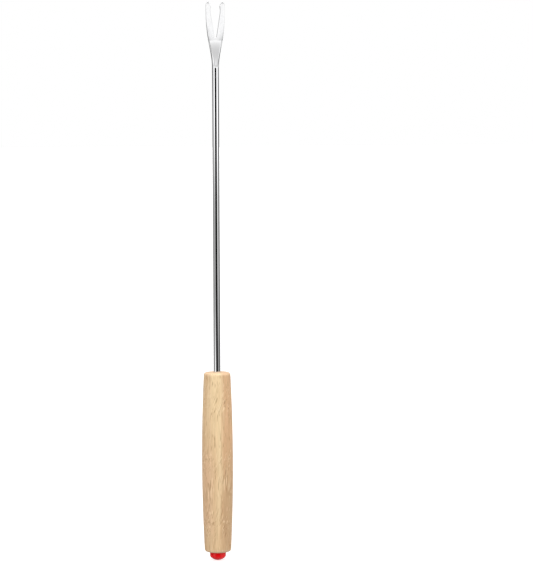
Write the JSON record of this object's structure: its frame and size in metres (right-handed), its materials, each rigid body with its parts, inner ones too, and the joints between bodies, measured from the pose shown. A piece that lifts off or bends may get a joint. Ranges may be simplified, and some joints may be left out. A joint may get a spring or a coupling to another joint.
{
  "type": "marshmallow roasting fork",
  "caption": "Slim roasting fork: flat two-prong barbed head forged on a round steel rod, turned wooden barrel handle and a coloured domed end plug.",
  "frame": {"origin": "on the fork's long axis, half way along the wooden handle, where a hand holds it", "axes": "+Z along the rod from the grip to the prong tips, +X across the two prongs, +Y square to the flat of the head"},
  "size_m": [0.0134, 0.0134, 0.24],
  "materials": {
    "steel": "polished stainless steel, drawn rod with a bright forged head",
    "wood": "pale turned hardwood with short dark pores, sanded and sealed with a satin clear coat",
    "plug": "glossy moulded plastic, one plain colour",
    "adhesive": "cured amber epoxy, hidden in the handle"
  },
  "bodies": {
    "root": {"fork_head": "steel", "shaft": "steel", "tang_adhesive": "adhesive", "handle": "wood", "end_plug": "plug"}
  },
  "joints": []
}
